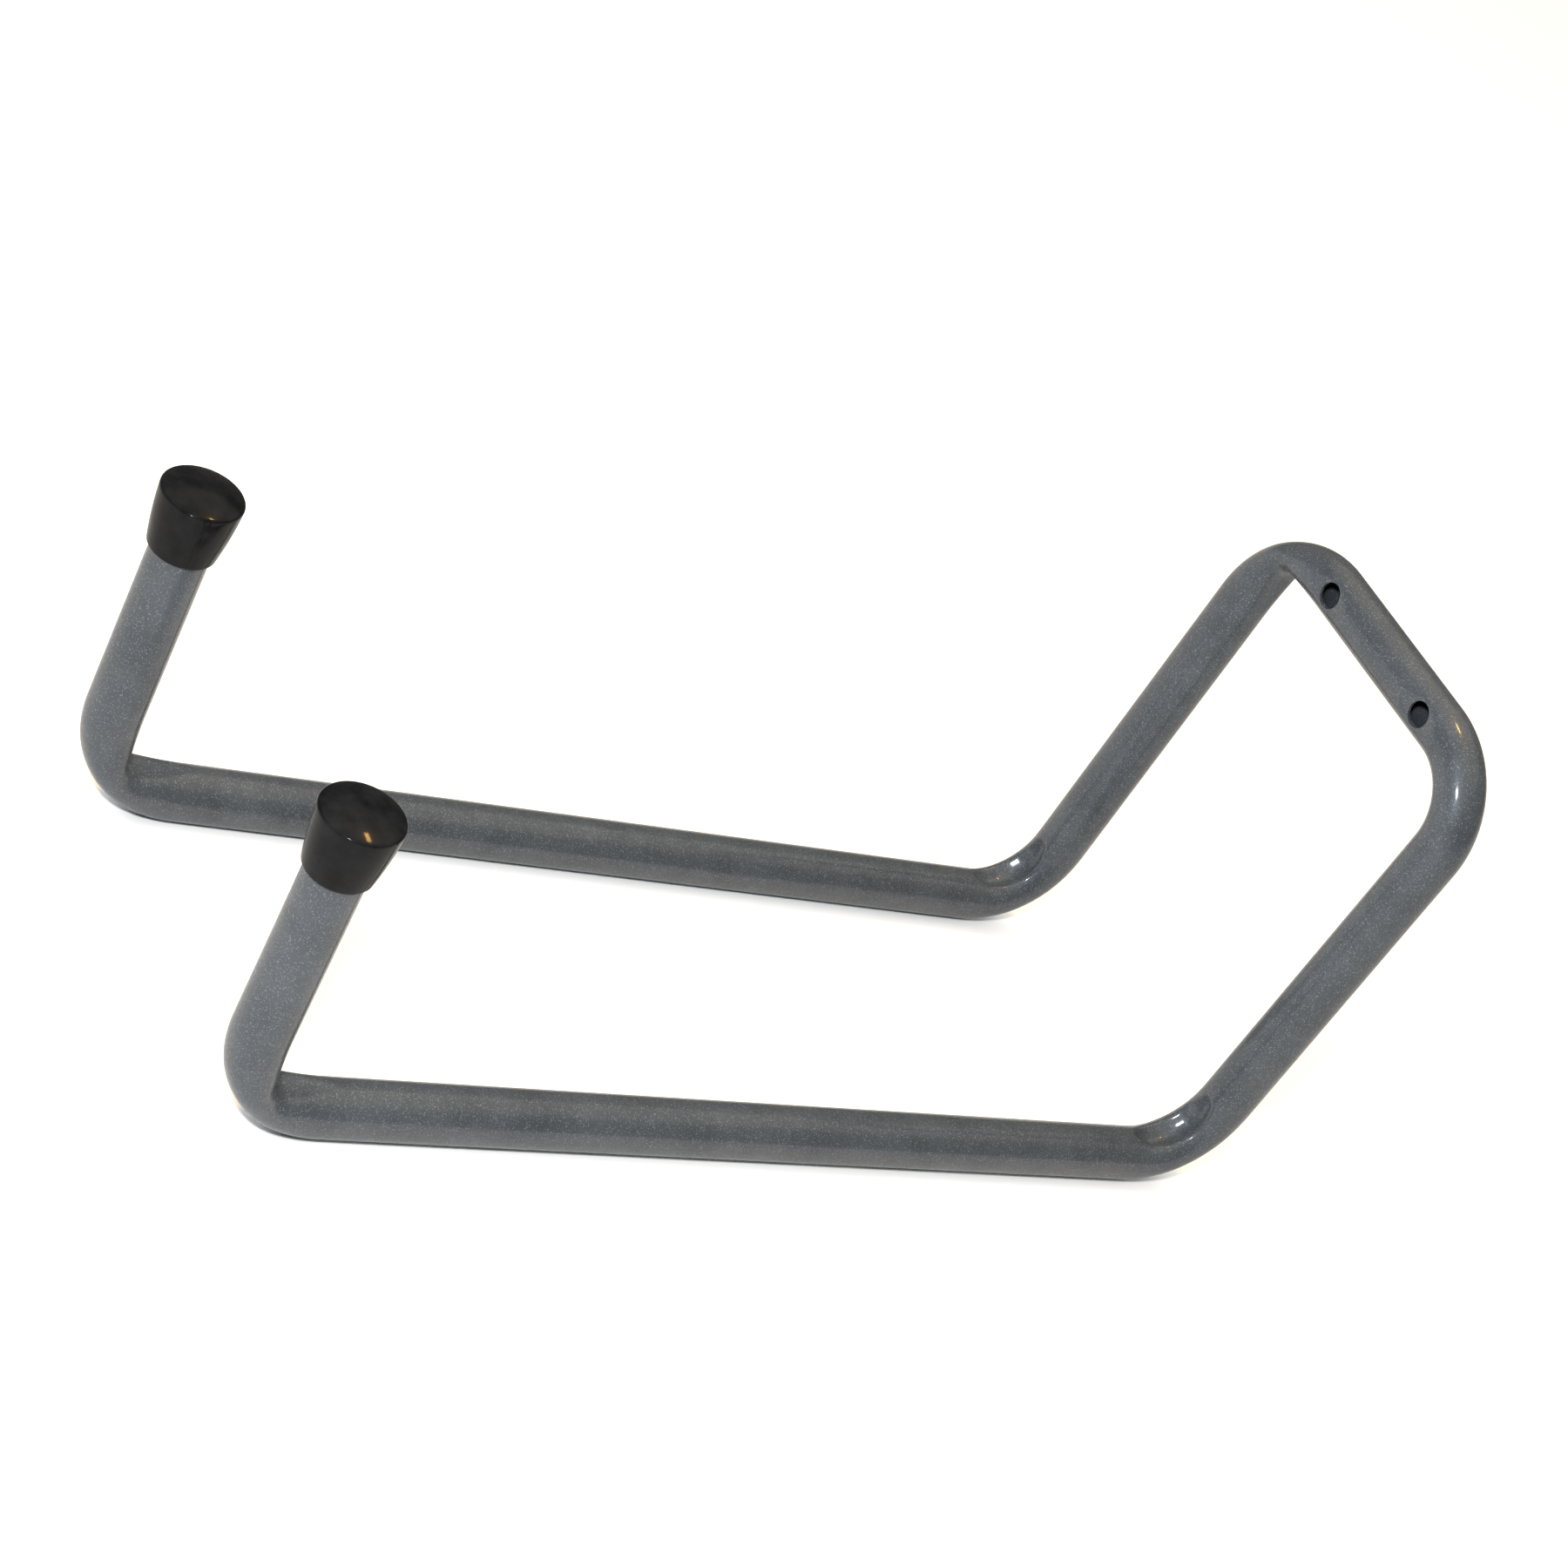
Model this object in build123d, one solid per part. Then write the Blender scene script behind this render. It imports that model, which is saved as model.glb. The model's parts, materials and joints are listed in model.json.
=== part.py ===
"""Bicycle wall rack: one bent steel tube that screws to a wall, with a push-on cap at each end.

X runs along the bar that takes the screws, -Y points away from the wall and +Z is up. The
origin lies on the wall, midway between the two screw holes.
"""

import os
from math import cos, radians, sin, tan

from build123d import *

# Tube stock
tube_diameter = 19.05
tube_wall = 1.6

# Frame, along the centreline of the tube; the angles are in degrees
leg_spacing = 134.0  # at the wall bar
leg_toe_in = 0.7  # each leg closes in on its way down
leg_drop = 185.0
arm_splay = 0.5  # each arm opens towards its tip
arm_reach = 404.0
tip_lean = 8.0  # away from the wall
tip_length = 114.5

# Bends, at the centreline of the tube. The round die that each bend is pressed over flattens
# the inside of it, to the depth of its crush.
corner_radius = 32.0
corner_crush = 5.5
corner_nose = 14.0
elbow_radius = 30.5
elbow_crush = 4.0
elbow_nose = 12.5
tip_radius = 37.5
tip_crush = 5.5
tip_nose = 16.5

# Screw holes through the wall bar, each in a shallow pressed dimple
hole_spacing = 61.0
hole_diameter = 9.5
dimple_length = 18.0  # along the bar
dimple_depth = 1.8

# Caps, thin at the mouth and thick at the closed end
cap_grip = 18.0  # how far the cap reaches down over the tube
cap_clearance = 0.05
cap_mouth_wall = 1.4
cap_rim_wall = 3.8
cap_side_bulge = 0.4
cap_end = 3.0
cap_dome = 2.4
cap_rim_fillet = 0.8
cap_mouth_fillet = 0.5

tube_radius = tube_diameter / 2


def side_points(side):
    """Corners of one side's centreline, from its open end up to the end of the wall bar."""
    leg_foot = leg_spacing / 2 - leg_drop * tan(radians(leg_toe_in))
    arm_end = leg_foot + arm_reach * tan(radians(arm_splay))
    leg_y = -tube_radius
    tip_y = leg_y - arm_reach
    end_y = tip_y - tip_length * sin(radians(tip_lean))
    end_z = -leg_drop + tip_length * cos(radians(tip_lean))
    return [
        (side * arm_end, end_y, end_z),
        (side * arm_end, tip_y, -leg_drop),
        (side * leg_foot, leg_y, -leg_drop),
        (side * leg_spacing / 2, leg_y, 0),
    ]


corners = side_points(-1) + side_points(1)[::-1]
radii = [tip_radius, elbow_radius, corner_radius, corner_radius, elbow_radius, tip_radius]
crushes = [tip_crush, elbow_crush, corner_crush, corner_crush, elbow_crush, tip_crush]
noses = [tip_nose, elbow_nose, corner_nose, corner_nose, elbow_nose, tip_nose]


def bar_along(path, radius):
    """A round bar that follows the path."""
    return sweep((path ^ 0) * Circle(radius), path=path)


def dies(grow=0.0):
    """The round dies that flatten the inside of the bends, grown where they shape the bore."""
    shapes = []
    bends = zip(corners, corners[1:], corners[2:], radii, crushes, noses)
    for before, corner, after, radius, crush, nose in bends:
        back = (Vector(before) - Vector(corner)).normalized()
        ahead = (Vector(after) - Vector(corner)).normalized()
        inward = (back + ahead).normalized()
        half_turn = radians(90 - back.get_angle(ahead) / 2)
        to_middle = radius / cos(half_turn) - radius
        middle = Vector(corner) + inward * (to_middle + tube_radius - crush + nose)
        die = Cylinder(nose + grow, 2 * tube_diameter)
        shapes.append(Plane(origin=middle, z_dir=back.cross(ahead)) * die)
    return shapes


def at_screws(shape):
    """Copies of a shape at both screw holes, with the shape's +Z pointing into the wall."""
    into_wall = Plane(origin=(0, 0, 0), x_dir=(1, 0, 0), z_dir=(0, 1, 0)).location
    return [into_wall * place * shape for place in GridLocations(hole_spacing, 1, 2, 1)]


def dimple(grow=0.0):
    """The pressed seat round one screw hole, a shallow ball shape in the front of the bar."""
    half = dimple_length / 2
    ball_radius = (half**2 + dimple_depth**2) / (2 * dimple_depth)
    return Pos(0, 0, dimple_depth - tube_diameter - ball_radius) * Sphere(ball_radius + grow)


def tube_frame():
    """The bent tube with its flattened bends, dimples and screw holes."""
    path = FilletPolyline(corners, radius=radii)
    outside = bar_along(path, tube_radius) - dies() - at_screws(dimple())
    inside = bar_along(path, tube_radius - tube_wall) - dies(tube_wall) - at_screws(dimple(tube_wall))
    return outside - inside - at_screws(Cylinder(hole_diameter / 2, 3 * tube_diameter))


def cap():
    """One cap on a tube that points up +Z and ends at z = 0."""
    bore = tube_radius + cap_clearance
    mouth = (bore + cap_mouth_wall, -cap_grip)
    rim = (bore + cap_rim_wall, cap_end)
    waist = ((mouth[0] + rim[0]) / 2 + cap_side_bulge, (mouth[1] + rim[1]) / 2)
    top = (0, cap_end + cap_dome)
    edge = TangentArc(top, rim, tangent=(1, 0)) + ThreePointArc(rim, waist, mouth)
    edge += Polyline(mouth, (bore, -cap_grip), (bore, 0), (0, 0), top)
    profile = make_face(edge)
    for corner, radius in ((rim, cap_rim_fillet), (mouth, cap_mouth_fillet)):
        profile = fillet(profile.vertices().sort_by_distance(corner)[0], radius)
    return revolve(Plane.XZ * profile, Axis.Z)


def end_cap(side):
    """The cap on one open end of the frame."""
    lean = (0, -sin(radians(tip_lean)), cos(radians(tip_lean)))
    return Plane(origin=side_points(side)[0], x_dir=(1, 0, 0), z_dir=lean) * cap()


nodes = {
    "tube_frame": tube_frame(),
    "left_end_cap": end_cap(-1),
    "right_end_cap": end_cap(1),
}

os.makedirs("parts", exist_ok=True)
for name, shape in nodes.items():
    export_step(shape, f"parts/{name}.step")
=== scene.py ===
import json
import math

import bmesh
import bpy
import numpy as np
from mathutils import Matrix, Vector


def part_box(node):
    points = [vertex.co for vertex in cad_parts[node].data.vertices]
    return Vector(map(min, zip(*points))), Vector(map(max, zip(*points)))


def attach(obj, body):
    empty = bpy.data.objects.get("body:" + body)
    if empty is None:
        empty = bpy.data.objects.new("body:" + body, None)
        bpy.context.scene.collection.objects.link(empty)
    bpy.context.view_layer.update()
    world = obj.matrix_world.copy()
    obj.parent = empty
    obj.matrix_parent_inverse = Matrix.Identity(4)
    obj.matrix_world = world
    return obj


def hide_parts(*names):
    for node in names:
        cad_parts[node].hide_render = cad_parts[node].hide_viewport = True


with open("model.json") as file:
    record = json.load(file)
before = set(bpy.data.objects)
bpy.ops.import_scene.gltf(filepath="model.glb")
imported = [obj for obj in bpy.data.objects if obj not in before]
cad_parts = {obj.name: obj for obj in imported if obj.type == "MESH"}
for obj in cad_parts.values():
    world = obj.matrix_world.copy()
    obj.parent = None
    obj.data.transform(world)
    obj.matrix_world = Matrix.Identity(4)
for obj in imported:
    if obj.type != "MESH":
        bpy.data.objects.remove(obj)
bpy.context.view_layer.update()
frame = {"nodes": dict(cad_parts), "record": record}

screws = frame["record"]["mounts"][0]["dims"]
tubeLow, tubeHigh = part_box("tube_frame")
print("frame loaded:", ", ".join(sorted(frame["nodes"])))


class Signal:  # a socket that adds its own Math nodes when it is used in an expression
    def __init__(self, graph, socket):
        self.graph, self.socket = graph, socket

    def math(self, operation, other):
        return self.graph.add("ShaderNodeMath", {"operation": operation}, {0: self, 1: other})

    def __add__(self, other):
        return self.math("ADD", other)

    def __mul__(self, other):
        return self.math("MULTIPLY", other)

    __radd__, __rmul__ = __add__, __mul__


class Graph:
    def __init__(self, tree):
        self.tree = tree

    def add(self, kind, settings, given, out=0):  # given holds a plain value or a signal for each socket
        node = self.tree.nodes.new(kind)
        for key, value in settings.items():
            setattr(node, key, value)
        for key, value in given.items():
            socket = node.inputs[key]
            if isinstance(value, Signal):
                self.tree.links.new(value.socket, socket)
            else:
                socket.default_value = value
        return Signal(self, node.outputs[out])

    def noise(self, where, scale, detail=2.0, rough=0.5):
        given = {"Vector": where, "Scale": scale, "Detail": detail, "Roughness": rough}
        return self.add("ShaderNodeTexNoise", {}, given)

    def cellColors(self, where, scale):
        given = {"Vector": where, "Scale": scale}
        return self.add("ShaderNodeTexVoronoi", {"feature": "F1"}, given, "Color")

    def stretch(self, value, low, high, toLow=0.0, toHigh=1.0):
        given = {"Value": value, "From Min": low, "From Max": high, "To Min": toLow, "To Max": toHigh}
        return self.add("ShaderNodeMapRange", {"clamp": True}, given)

    def blendColor(self, factor, first, second):  # 6, 7 and output 2 are the Mix node's colours
        given = {0: factor, 6: first, 7: second}
        return self.add("ShaderNodeMix", {"data_type": "RGBA"}, given, 2)

    def bump(self, height, strength, distance, normal=None):
        given = {"Height": height, "Strength": strength, "Distance": distance}
        if normal is not None:
            given["Normal"] = normal
        return self.add("ShaderNodeBump", {}, given)


def newMaterial(name, plain):
    material = bpy.data.materials.new(name)
    material.use_nodes = True
    graph = Graph(material.node_tree)
    shader = material.node_tree.nodes["Principled BSDF"]
    for key, value in plain.items():
        shader.inputs[key].default_value = value
    return material, graph, shader


def feed(graph, shader, links):
    for key, signal in links.items():
        graph.tree.links.new(signal.socket, shader.inputs[key])


powderCoat = {  # the tube's finish, with its sizes in metres
    "dark": (0.039, 0.045, 0.0525, 1.0),
    "light": (0.063, 0.072, 0.083, 1.0),
    "flake": (0.22, 0.245, 0.28, 1.0),
    "edge": (0.14, 0.15, 0.165, 1.0),  # tints the reflection under the clear coat
    "flakeSize": 0.00028,
    "flakeCut": 0.86,  # share of the grains that stay dark
    "flakeMix": 0.5,
    "peelSize": 0.0016,
    "mottleSize": 0.014,
    "waveHeight": 0.0008,
    "peelHeight": 0.0002,
    "gritHeight": 0.0001,
    "roughness": (0.40, 0.50),
    "clearCoat": (0.30, 0.42),
}


def powderCoatMaterial(look):
    plain = {"Specular IOR Level": 0.2, "Specular Tint": look["edge"], "Metallic": 0.3,
             "Coat Roughness": 0.13, "Coat IOR": 1.45}
    material, graph, shader = newMaterial("darkPowderCoat", plain)
    where = graph.add("ShaderNodeTexCoord", {}, {}, "Object")
    mottle = graph.noise(where, 1 / look["mottleSize"], 4.0, 0.6)
    grain = graph.noise(where, 1 / look["flakeSize"], 2.0, 0.7)
    peel = graph.noise(where, 1 / look["peelSize"], 3.0, 0.55)
    speck = graph.cellColors(where, 1 / look["flakeSize"])
    lit = graph.add("ShaderNodeSeparateColor", {}, {"Color": speck})
    flakes = graph.stretch(lit, look["flakeCut"], 1.0)
    cloud = graph.stretch(mottle * 0.45 + grain * 0.55, 0.34, 0.66)
    ground = graph.blendColor(cloud, look["dark"], look["light"])
    wave = graph.bump(mottle, 0.35, look["waveHeight"])
    skin = graph.bump(peel, 0.25, look["peelHeight"], wave)
    feed(graph, shader, {
        "Base Color": graph.blendColor(flakes * look["flakeMix"], ground, look["flake"]),
        "Roughness": graph.stretch(mottle + flakes * 0.1, 0.3, 0.7, *look["roughness"]),
        "Coat Weight": graph.stretch(mottle, 0.3, 0.7, *look["clearCoat"]),
        "Normal": graph.bump(grain, 0.22, look["gritHeight"], skin),
    })
    return material


vinyl = {  # the caps' finish
    "black": (0.0028, 0.0029, 0.0034, 1.0),
    "bloom": (0.0095, 0.0102, 0.0115, 1.0),
    "bloomSize": 0.006,
    "grainSize": 0.0007,
    "bloomHeight": 0.0004,
    "grainHeight": 0.0001,
    "roughness": (0.26, 0.38),
    "gloss": (0.15, 0.08),  # less of it where the bloom is thick
}


def vinylMaterial(look):
    plain = {"Specular IOR Level": 0.02, "Coat Roughness": 0.08, "Coat IOR": 1.45}
    material, graph, shader = newMaterial("blackVinyl", plain)
    where = graph.add("ShaderNodeTexCoord", {}, {}, "Object")
    bloom = graph.noise(where, 1 / look["bloomSize"], 4.0, 0.6)
    grain = graph.noise(where, 1 / look["grainSize"], 2.0, 0.6)
    hollows = graph.bump(bloom, 0.15, look["bloomHeight"])
    feed(graph, shader, {
        "Base Color": graph.blendColor(graph.stretch(bloom, 0.35, 0.75), look["black"], look["bloom"]),
        "Roughness": graph.stretch(bloom * 0.7 + grain * 0.3, 0.3, 0.7, *look["roughness"]),
        "Coat Weight": graph.stretch(bloom, 0.3, 0.7, *look["gloss"]),
        "Normal": graph.bump(grain, 0.12, look["grainHeight"], hollows),
    })
    return material


powderCoatSkin = powderCoatMaterial(powderCoat)
vinylSkin = vinylMaterial(vinyl)
print("materials made")


tube = {  # metres, apart from the angles
    "legToeIn": 0.7,  # degrees
    "armSplay": 0.5,  # degrees
    "tipLean": 8.0,  # degrees
    "tipLength": 0.1145,
    "wall": 0.0016,
    "bends": {  # centre line radius, sharpest inside radius, sideways bulge, then the hollow pressed inside
        "tip": {"radius": 0.0375, "nose": 0.0080, "bulge": 0.0004,
                "dent": 0.0015, "dentLength": 0.054, "dentSlope": 0.10},
        "elbow": {"radius": 0.0305, "nose": 0.0165, "bulge": 0.0005,
                  "dent": 0.0040, "dentLength": 0.049, "dentSlope": 0.74},
        "leftCorner": {"radius": 0.0320, "nose": 0.0060, "bulge": 0.0,
                       "dent": 0.0010, "dentLength": 0.044, "dentSlope": 0.10},
        "rightCorner": {"radius": 0.0320, "nose": 0.0190, "bulge": 0.0,
                        "dent": 0.0010, "dentLength": 0.044, "dentSlope": 0.10},
    },
    "bulgeRise": 6,  # the bulge is whole where a bend is flattened by a sixth
    "dentRound": 0.0021,
    "dentBlend": 0.0007,
    "rippleHeight": 0.00010,
    "rippleLength": 0.0065,
    "around": 72,
    "fineStep": 0.0012,
    "barStep": 0.0009,
    "coarseStep": 0.009,
    "dieReach": 0.017,  # how far past a bend the steps stay fine
    "holeCut": 0.72,  # in hole radii, what is cut out roughly before the edge is drawn true
    "holeDraw": 2.0,  # in hole radii, how far out the sheet moves with the edge
    "dimpleLength": 0.018,
    "dimpleDepth": 0.0018,
    "dimpleBlend": 0.0009,
    "lipRound": 0.0006,
    "lipAngle": 55,  # degrees
}

tubeRadius = tubeHigh.z
lean = math.radians(tube["tipLean"])
leanWay = Vector((0, -math.sin(lean), math.cos(lean)))
legDrop = -tubeLow.z - tubeRadius
armReach = -tubeLow.y - tubeRadius - tube["tipLength"] * math.sin(lean) - tubeRadius * math.cos(lean)
armEnd = tubeHigh.x - tubeRadius
legFoot = armEnd - armReach * math.tan(math.radians(tube["armSplay"]))
legTop = legFoot + legDrop * math.tan(math.radians(tube["legToeIn"]))
holeRadius = screws["hole_r_mm"] / 1000
holeHalf = screws["spacing_x_mm"] / 2000


def sideCorners(side):  # from the open end up to the wall bar
    tipFoot = Vector((side * armEnd, -tubeRadius - armReach, -legDrop))
    return [
        tipFoot + leanWay * tube["tipLength"],
        tipFoot,
        Vector((side * legFoot, -tubeRadius, -legDrop)),
        Vector((side * legTop, -tubeRadius, 0)),
    ]


corners = sideCorners(-1) + sideCorners(1)[::-1]
bendNames = ["tip", "elbow", "leftCorner", "rightCorner", "elbow", "tip"]
barEnd = bendNames.index("rightCorner")  # the wall bar is the straight that runs up to this bend


def bendAt(before, corner, after, name):
    back, ahead = (before - corner).normalized(), (after - corner).normalized()
    press = tube["bends"][name]
    radius = press["radius"]
    halfTurn = (math.pi - back.angle(ahead)) / 2
    inward = (back + ahead).normalized()
    run = radius * math.tan(halfTurn)
    return {
        "press": press,
        "radius": radius,
        "halfTurn": halfTurn,
        "centre": corner + inward * (radius / math.cos(halfTurn)),
        "outward": -inward,
        "axis": back.cross(ahead).normalized(),
        "start": corner + back * run,
        "end": corner + ahead * run,
    }


bends = [bendAt(*corners[i:i + 3], name) for i, name in enumerate(bendNames)]


def straightPoints(start, end, step, reach):  # fine steps within reach of both ends
    length = (end - start).length
    places = list(np.arange(0, min(reach, length / 2), tube["fineStep"]))
    places += [length - place for place in places]
    inner = length - 2 * reach
    if inner > 0:
        places += list(np.linspace(reach, length - reach, max(2, round(inner / step) + 1)))
    places = sorted({round(place, 6) for place in places})
    kept = [places[0]] + [b for a, b in zip(places, places[1:]) if b - a > tube["fineStep"] / 3]
    return [start.lerp(end, place / length) for place in kept]


def arcPoints(bend):
    count = max(2, round(2 * bend["halfTurn"] * bend["radius"] / tube["fineStep"]))
    arm = bend["start"] - bend["centre"]
    turns = (Matrix.Rotation(-2 * bend["halfTurn"] * i / count, 3, bend["axis"]) for i in range(1, count))
    return [bend["centre"] + turn @ arm for turn in turns]


def centreline():
    starts = [corners[0]] + [bend["end"] for bend in bends]
    ends = [bend["start"] for bend in bends] + [corners[-1]]
    points = []
    for i, (start, end) in enumerate(zip(starts, ends)):
        if i == barEnd:
            points += straightPoints(start, end, tube["barStep"], 0.0)
        else:
            points += straightPoints(start, end, tube["coarseStep"], tube["dieReach"])
        if i < len(bends):
            points += arcPoints(bends[i])
    return points


def sweepTree():
    tree = bpy.data.node_groups.new("bentTubeSweep", "GeometryNodeTree")
    sockets = [("Geometry", "INPUT", "NodeSocketGeometry"), ("Tube Radius", "INPUT", "NodeSocketFloat"),
               ("Facets Around", "INPUT", "NodeSocketInt"), ("Coating", "INPUT", "NodeSocketMaterial"),
               ("Geometry", "OUTPUT", "NodeSocketGeometry")]
    for name, side, kind in sockets:
        tree.interface.new_socket(name=name, in_out=side, socket_type=kind)
    graph = Graph(tree)
    entry = tree.nodes.new("NodeGroupInput")
    given = {socket.name: Signal(graph, socket) for socket in entry.outputs if socket.name}
    ring = graph.add("GeometryNodeCurvePrimitiveCircle", {"mode": "RADIUS"},
                     {"Resolution": given["Facets Around"], "Radius": given["Tube Radius"]})
    skin = graph.add("GeometryNodeCurveToMesh", {}, {"Curve": given["Geometry"], "Profile Curve": ring})
    smooth = graph.add("GeometryNodeSetShadeSmooth", {}, {"Geometry": skin})
    real = graph.add("GeometryNodeRealizeInstances", {}, {"Geometry": smooth})
    coated = graph.add("GeometryNodeSetMaterial", {}, {"Geometry": real, "Material": given["Coating"]})
    result = tree.nodes.new("NodeGroupOutput")
    tree.links.new(coated.socket, result.inputs["Geometry"])
    return tree


def place(name, data):
    made = bpy.data.objects.new(name, data)
    bpy.context.scene.collection.objects.link(made)
    return made


def evaluated(source):  # swaps an object for the mesh that its modifiers make
    mesh = bpy.data.meshes.new_from_object(source.evaluated_get(bpy.context.evaluated_depsgraph_get()))
    bpy.data.objects.remove(source)
    return mesh


def grown(source, tree, inputs):  # runs a geometry tree on an object and hands back a plain mesh
    modifier = source.modifiers.new(tree.name, "NODES")
    modifier.node_group = tree
    for item in tree.interface.items_tree:
        if item.in_out == "INPUT" and item.name in inputs:
            modifier[item.identifier] = inputs[item.name]
    return evaluated(source)


def sweptSkin(points):  # the tube's outside, with each vertex marked with the number of its ring
    line = bpy.data.curves.new("centreline", "CURVE")
    line.dimensions = "3D"
    spline = line.splines.new("POLY")
    spline.points.add(len(points) - 1)
    for target, point in zip(spline.points, points):
        target.co = (*point, 1)
    inputs = {"Tube Radius": tubeRadius, "Facets Around": tube["around"], "Coating": powderCoatSkin}
    skin = grown(place("centreline", line), sweepTree(), inputs)
    ring = skin.attributes.new("ring", "INT", "POINT")
    ring.data.foreach_set("value", np.arange(len(skin.vertices)) // tube["around"])
    return skin


def punchHoles(mesh):  # cuts each hole out roughly, then draws the sheet round it out to a true edge
    cut, outer = tube["holeCut"] * holeRadius, tube["holeDraw"] * holeRadius
    barHalf, cornerRadius = bends[barEnd]["start"].x, bends[barEnd]["radius"]
    work = bmesh.new()
    work.from_mesh(mesh)
    for x, side in [(-holeHalf, -1), (holeHalf, -1), (-holeHalf, 1), (holeHalf, 1)]:  # front, then back
        facing = [v for v in work.verts if (v.co.y + tubeRadius) * side > 0]
        gap = {v: math.hypot(v.co.x - x, v.co.z) for v in facing}
        near = {v: d for v, d in gap.items() if d <= outer}
        bmesh.ops.delete(work, geom=[v for v, d in near.items() if d < cut], context="VERTS")
        for v, d in near.items():
            if not v.is_valid:
                continue
            drawn = 0 if v.is_boundary else (d - cut) * (outer - holeRadius) / (outer - cut)
            grow = (holeRadius + drawn) / d
            v.co.x = x + (v.co.x - x) * grow
            v.co.z *= grow
            sunk = max(abs(v.co.x) - barHalf, 0)**2 / (2 * cornerRadius)  # the corner's first drop
            v.co.y = -tubeRadius + side * math.sqrt(max(tubeRadius**2 - (v.co.z + sunk)**2, 0))
    work.to_mesh(mesh)
    work.free()


def takeRings(skin):  # the ring numbers of the vertices that the holes have left
    rings = np.empty(len(skin.vertices), int)
    skin.attributes["ring"].data.foreach_get("value", rings)
    skin.attributes.remove(skin.attributes["ring"])
    return rings


def softMax(first, second, blend):
    mix = np.clip(0.5 + 0.5 * (first - second) / blend, 0, 1)
    return second * (1 - mix) + first * mix + blend * mix * (1 - mix)


def stationAt(point):  # the nearest bend, then the angle, the distance and the way out from its middle
    bend = min(bends, key=lambda b: (b["centre"] + b["outward"] * b["radius"] - point).length)
    along = bend["axis"].cross(bend["outward"])
    arm = point - bend["centre"]
    angle = math.atan2(arm.dot(along), arm.dot(bend["outward"]))
    held = max(-bend["halfTurn"], min(bend["halfTurn"], angle))
    outward = bend["outward"] * math.cos(held) + along * math.sin(held)
    past = (arm - outward * arm.dot(outward)).length if held != angle else 0
    return bend, held, bend["radius"] * abs(held) + past, outward


def innerCrush(bend, angle):  # the inside of the bend keeps straight for longer and then turns sharply
    inner, half = bend["radius"] - tubeRadius, bend["halfTurn"]
    nose = bend["press"]["nose"]
    shift = (inner - nose) / math.cos(half)
    if abs(angle) > math.atan2(nose * math.sin(half), shift + nose * math.cos(half)):
        return inner / math.cos(half - abs(angle)) - inner
    return shift * math.cos(angle) + math.sqrt(nose**2 - (shift * math.sin(angle))**2) - inner


def pressBends(points, rings, middles):  # flattens each bend from the inside and presses its hollow
    stations = [stationAt(middle) for middle in middles]
    crush = np.array([innerCrush(*station[:2]) for station in stations])[rings]
    reach = np.array([station[2] for station in stations])[rings]
    outward = np.array([station[3] for station in stations])[rings]
    axis = np.array([station[0]["axis"] for station in stations])[rings]

    def each(key):
        return np.array([station[0]["press"][key] for station in stations])[rings]

    away = points - np.array([tuple(middle) for middle in middles])[rings]
    out = (away * outward).sum(1)
    side = (away * axis).sum(1)
    squash = crush / (2 * tubeRadius)
    moved = (tubeRadius - out) * squash
    ripple = tube["rippleHeight"] * each("dentSlope") * np.cos(2 * math.pi * reach / tube["rippleLength"])
    deep = each("dent") * (1 - (2 * reach / each("dentLength"))**3) + ripple
    rise = each("dentSlope") * (np.hypot(side, tube["dentRound"]) - tube["dentRound"])
    valley = tubeRadius - crush - deep + rise
    moved += softMax(-out - moved - valley, 0, tube["dentBlend"])
    wider = each("bulge") * np.clip(squash * tube["bulgeRise"], 0, 1) * side / tubeRadius
    points += outward * moved[:, None] + axis * wider[:, None]


def pressDimples(points):  # a shallow part of a ball round each hole in the front
    half = tube["dimpleLength"] / 2
    ball = (half**2 + tube["dimpleDepth"]**2) / (2 * tube["dimpleDepth"])
    middle = -2 * tubeRadius + tube["dimpleDepth"] - ball
    for x in (-holeHalf, holeHalf):
        spread = np.hypot(points[:, 0] - x, points[:, 2])
        near = (spread < ball) & (points[:, 1] < -tubeRadius)
        floor = middle + np.sqrt(ball**2 - spread[near]**2)
        points[near, 1] = softMax(points[near, 1], floor, tube["dimpleBlend"])


def meshPoints(mesh, change):
    points = np.empty(len(mesh.vertices) * 3)
    mesh.vertices.foreach_get("co", points)
    points = points.reshape(-1, 3)
    change(points)
    mesh.vertices.foreach_set("co", points.ravel())
    mesh.update()


def turnOutward(mesh):
    work = bmesh.new()
    work.from_mesh(mesh)
    bmesh.ops.recalc_face_normals(work, faces=work.faces)
    work.to_mesh(mesh)
    work.free()


def withWall(skin):  # thickens the sheet inwards, and rounds the lips of the holes and of the ends
    shell = place("tubeShell", skin)
    thick = shell.modifiers.new("wall", "SOLIDIFY")
    thick.thickness = tube["wall"]
    thick.offset = -1
    thick.use_even_offset = True
    lip = shell.modifiers.new("lip", "BEVEL")
    lip.width = tube["lipRound"]
    lip.segments = 3
    lip.limit_method = "ANGLE"
    lip.angle_limit = math.radians(tube["lipAngle"])
    return evaluated(shell)


sharpAngle = math.radians(50)  # edges that turn further than this are shaded sharp


def bentTube():
    points = centreline()
    skin = sweptSkin(points)
    punchHoles(skin)
    rings = takeRings(skin)
    meshPoints(skin, lambda coords: pressBends(coords, rings, points))
    meshPoints(skin, pressDimples)
    turnOutward(skin)
    mesh = withWall(skin)
    mesh.set_sharp_from_angle(angle=sharpAngle)
    return place("bentTube", mesh)


tubePiece = bentTube()
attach(tubePiece, "root")
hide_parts("tube_frame")
print("tube made:", len(tubePiece.data.polygons), "faces")


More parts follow.
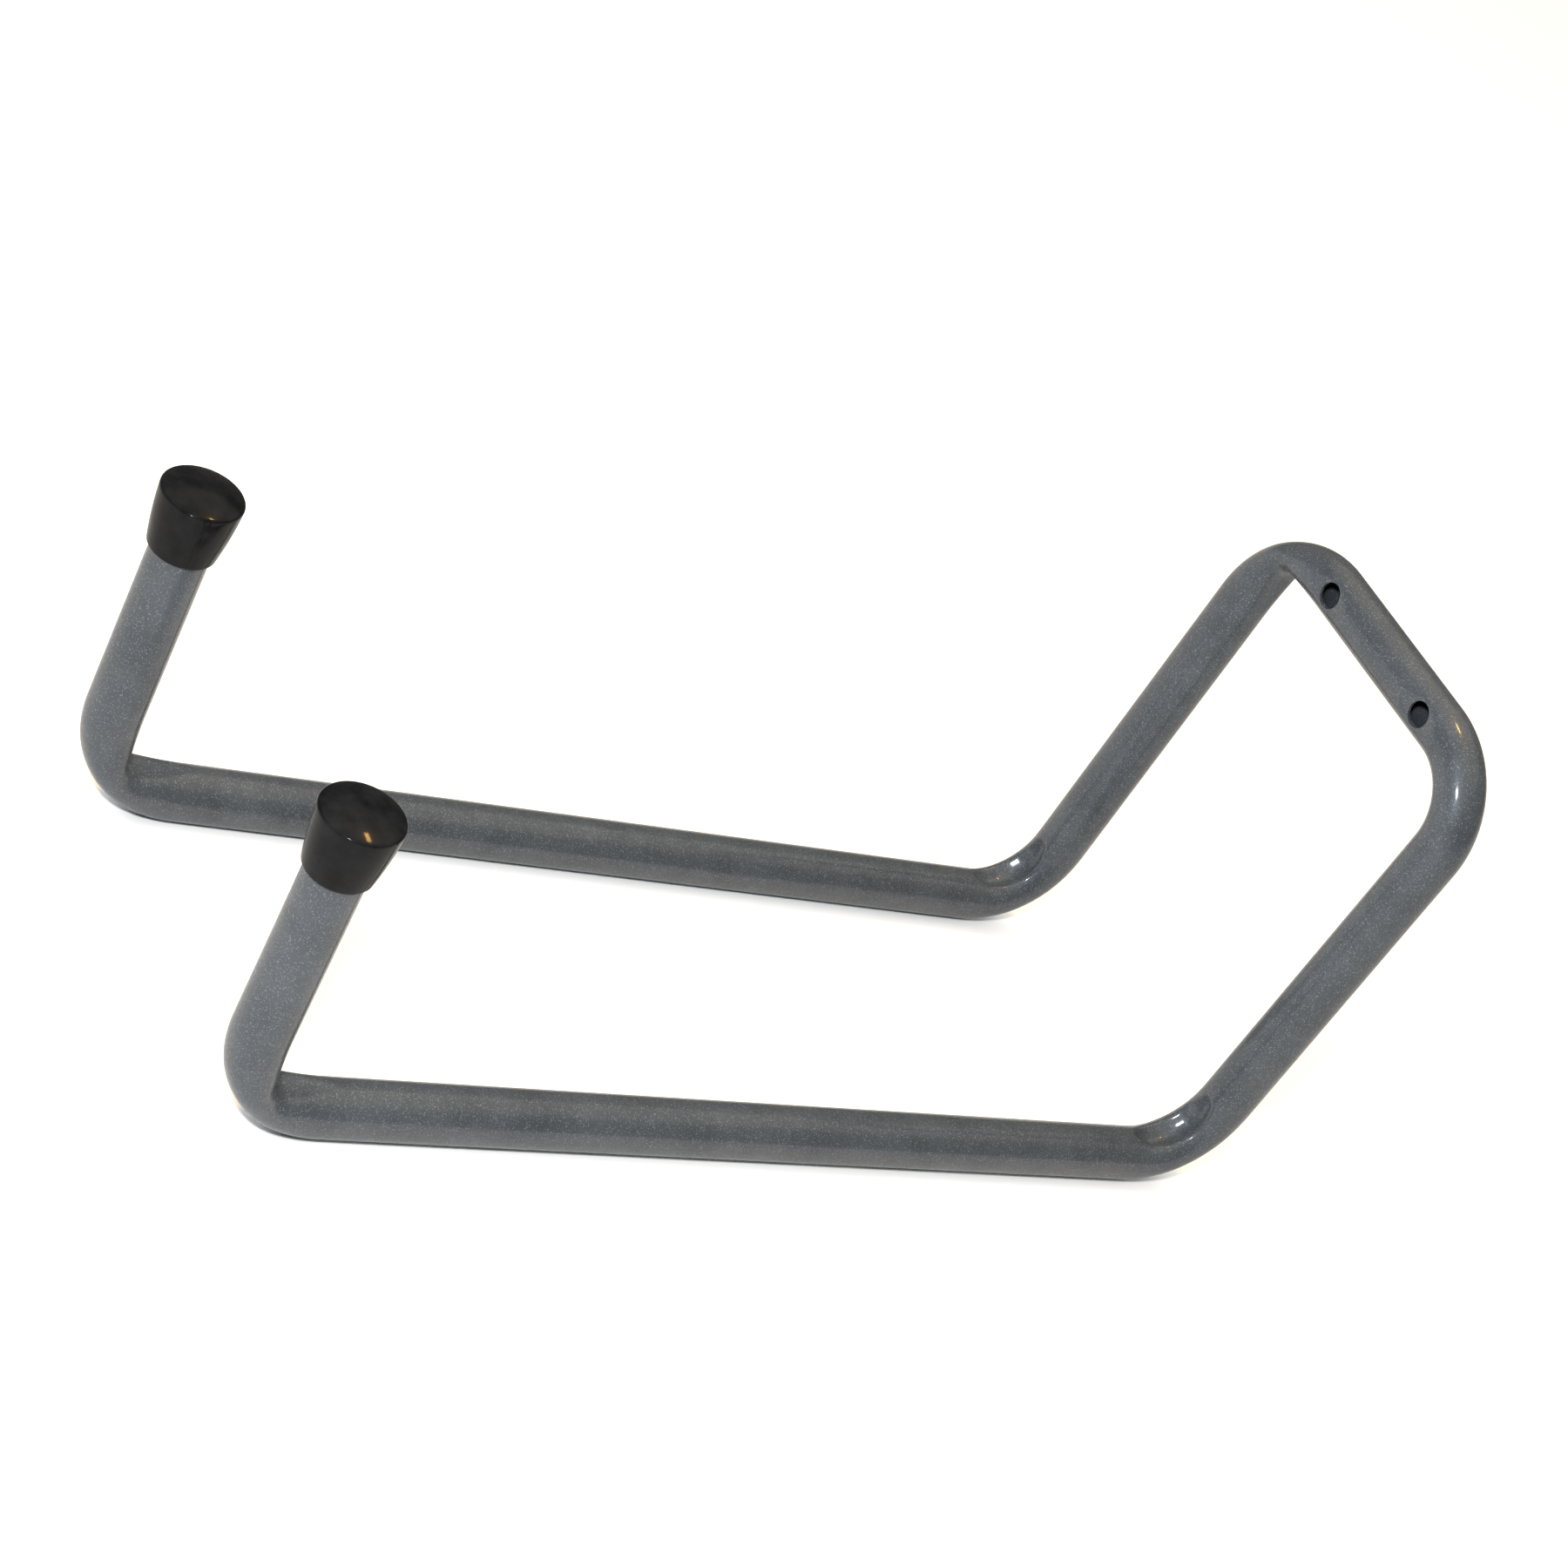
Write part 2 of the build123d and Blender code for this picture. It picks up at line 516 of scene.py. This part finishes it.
cap = {  # metres, up from the tube's end
    "clearance": 0.00005,
    "grip": 0.018,
    "end": 0.003,
    "dome": 0.0024,
    "mouthWall": 0.0014,
    "rimWall": 0.0038,
    "bulge": 0.0004,
    "rimRound": 0.0008,
    "mouthRound": 0.0005,
    "innerRing": 0.004,  # radius of the one ring of facets on the flat inside
    "around": 128,
    "seamDepth": 0.00018,
    "seams": {"leftCap": (124, 60), "rightCap": (9, 73)},  # the mould lines, as facets round from +X
}


def through(first, middle, last, count):  # points on a gentle curve through three places
    places = np.linspace(0, 1, count)
    first, middle, last = map(np.array, (first, middle, last))
    pull = 2 * middle - (first + last) / 2
    return [tuple((1 - t)**2 * first + 2 * t * (1 - t) * pull + t**2 * last) for t in places]


def rounded(before, corner, after, radius, count=6):
    before, corner, after = (np.array(p) for p in (before, corner, after))
    a = corner + (before - corner) / np.linalg.norm(before - corner) * radius
    b = corner + (after - corner) / np.linalg.norm(after - corner) * radius
    return through(a, (a + 2 * corner + b) / 4, b, count)


def capProfile():  # radius and height, from the middle of the top, round the mouth, to the middle inside
    bore = tubeRadius + cap["clearance"]
    mouth = (bore + cap["mouthWall"], -cap["grip"])
    rim = (bore + cap["rimWall"], cap["end"])
    waist = ((mouth[0] + rim[0]) / 2 + cap["bulge"], (mouth[1] + rim[1]) / 2)
    domeRadius = (rim[0]**2 + cap["dome"]**2) / (2 * cap["dome"])
    rise = [(r, cap["end"] + cap["dome"] - domeRadius + math.sqrt(domeRadius**2 - r * r))
            for r in np.linspace(0, rim[0], 15)]
    side = through(rim, waist, mouth, 22)
    profile = rise[:-1] + rounded(rise[-2], rim, side[1], cap["rimRound"]) + side[2:-1]
    profile += rounded(side[-2], mouth, (bore, mouth[1]), cap["mouthRound"])
    profile += [(bore, -cap["grip"]), (bore, -cap["grip"] / 2), (bore, 0)]
    return profile + [(cap["innerRing"], 0), (0, 0)]


def capRing(work, radius, height, seams):  # the middle is one vertex, and the side dips at its mould lines
    if radius == 0:
        return [work.verts.new((0, 0, height))]
    onSide = radius > tubeRadius + cap["mouthWall"] and height < cap["end"]
    ring = []
    for i in range(cap["around"]):
        turn = 2 * math.pi * i / cap["around"]
        out = radius - (cap["seamDepth"] if onSide and i in seams else 0)
        ring.append(work.verts.new((out * math.cos(turn), out * math.sin(turn), height)))
    return ring


def capMesh(name, side):
    work = bmesh.new()
    rings = [capRing(work, radius, height, cap["seams"][name]) for radius, height in capProfile()]
    for upper, lower in zip(rings, rings[1:]):
        for i in range(cap["around"]):
            j = (i + 1) % cap["around"]
            loop = [ring[k % len(ring)] for ring, k in ((upper, i), (lower, i), (lower, j), (upper, j))]
            work.faces.new(list(dict.fromkeys(loop)))
    bmesh.ops.recalc_face_normals(work, faces=work.faces)
    for face in work.faces:
        face.smooth = True
    seat = corners[0 if side < 0 else -1]
    across = Vector((1, 0, 0))
    turn = Matrix((across, leanWay.cross(across), leanWay)).transposed()
    for v in work.verts:
        v.co = seat + turn @ v.co
    mesh = bpy.data.meshes.new(name)
    work.to_mesh(mesh)
    work.free()
    mesh.materials.append(vinylSkin)
    mesh.set_sharp_from_angle(angle=sharpAngle)
    return mesh


for name, node, side in (("leftCap", "left_end_cap", -1), ("rightCap", "right_end_cap", 1)):
    piece = place(name, capMesh(name, side))
    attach(piece, "root")
    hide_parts(node)
print("caps made")


stage = {
    "floorSize": 80.0,
    "floorGap": 0.0004,
    "floorColor": (0.87, 0.87, 0.87, 1.0),
    "floorPatch": (0.90, 0.90, 0.90, 1.0),
    "patchScale": 3.0,
    "horizonColor": (0.19, 0.19, 0.195, 1.0),
    "skyColor": (0.30, 0.295, 0.27, 1.0),
    "panelColor": (1.60, 1.52, 1.34, 1.0),
    "panelEdge": (0.64, 0.72),  # heights where the overhead panel fades in, 0 level and 1 straight up
}


def makeFloor():
    half = stage["floorSize"] / 2
    low = tubeLow.z - stage["floorGap"]
    work = bmesh.new()
    sheet = [work.verts.new((x * half, y * half, low)) for x, y in ((-1, -1), (1, -1), (1, 1), (-1, 1))]
    work.faces.new(sheet)
    mesh = bpy.data.meshes.new("floor")
    work.to_mesh(mesh)
    work.free()
    material, graph, shader = newMaterial("paleFloor", {"Roughness": 0.9, "Specular IOR Level": 0.1})
    where = graph.add("ShaderNodeTexCoord", {}, {}, "Object")
    patches = graph.noise(where, stage["patchScale"])
    feed(graph, shader, {"Base Color": graph.blendColor(patches, stage["floorColor"], stage["floorPatch"])})
    mesh.materials.append(material)
    place("floor", mesh)


def makeSky():  # grey round the horizon, with one broad soft panel straight overhead
    world = bpy.data.worlds.new("studio")
    world.use_nodes = True
    graph = Graph(world.node_tree)
    facing = graph.add("ShaderNodeTexCoord", {}, {}, "Generated")
    height = graph.add("ShaderNodeSeparateXYZ", {}, {"Vector": facing}, "Z")
    low, high = stage["panelEdge"]
    room = graph.blendColor(graph.stretch(height, 0.0, low), stage["horizonColor"], stage["skyColor"])
    tone = graph.blendColor(graph.stretch(height, low, high), room, stage["panelColor"])
    back = world.node_tree.nodes["Background"]
    graph.tree.links.new(tone.socket, back.inputs["Color"])
    bpy.context.scene.world = world


lamps = {
    "fill": {"at": (-1.3, -1.9, 1.1), "to": (0, -0.2, -0.1), "size": (1.2, 0.9), "power": 27,
             "color": (0.90, 0.95, 1.0), "inGloss": False},
    "backFill": {"at": (0.6, 2.2, 1.0), "to": (0, -0.2, -0.1), "size": (1.2, 0.9), "power": 14,
                 "color": (0.94, 0.97, 1.0), "inGloss": False},
    "flash": {"at": (0.64, -1.08, 0.64), "to": (0, -0.2, -0.1), "size": (0.12, 0.07), "power": 20,
              "color": (0.97, 0.985, 1.0), "inGloss": True},
    "roomLamp": {"at": (-0.30, 0.0, 1.75), "to": (-0.30, -0.35, -0.07), "size": (0.26, 0.10), "power": 14,
                 "color": (1.0, 0.56, 0.16), "inGloss": True},
}


def aimed(at, to, roll=0.0):
    back = (Vector(at) - Vector(to)).normalized()
    right = Vector((0, 0, 1)).cross(back).normalized()
    up = back.cross(right)
    spun = Matrix.Rotation(math.radians(roll), 3, back)
    axes = Matrix((spun @ right, spun @ up, back)).transposed()
    return Matrix.Translation(Vector(at)) @ axes.to_4x4()


def makeLamps():
    for name, lamp in lamps.items():
        data = bpy.data.lights.new(name, "AREA")
        data.shape = "RECTANGLE"
        data.size, data.size_y = lamp["size"]
        data.energy = lamp["power"]
        data.color = lamp["color"]
        lampObject = place(name, data)
        lampObject.matrix_world = aimed(lamp["at"], lamp["to"])
        lampObject.visible_glossy = lamp["inGloss"]


view = {
    "at": (0.76032, -1.04593, 0.51974),
    "to": (-0.0587, -0.1602, -0.1401),
    "roll": 35.35,  # degrees
    "lens": 90.9,  # millimetres, on a sensor 36 wide
}


def makeCamera():
    data = bpy.data.cameras.new("camera")
    data.sensor_width = 36.0
    data.lens = view["lens"]
    data.clip_start = 0.05
    data.clip_end = 50.0
    eye = place("camera", data)
    eye.matrix_world = aimed(view["at"], view["to"], view["roll"])
    bpy.context.scene.camera = eye


makeFloor()
makeSky()
makeLamps()
makeCamera()
bpy.context.scene.view_settings.view_transform = "Standard"
print("stage set")
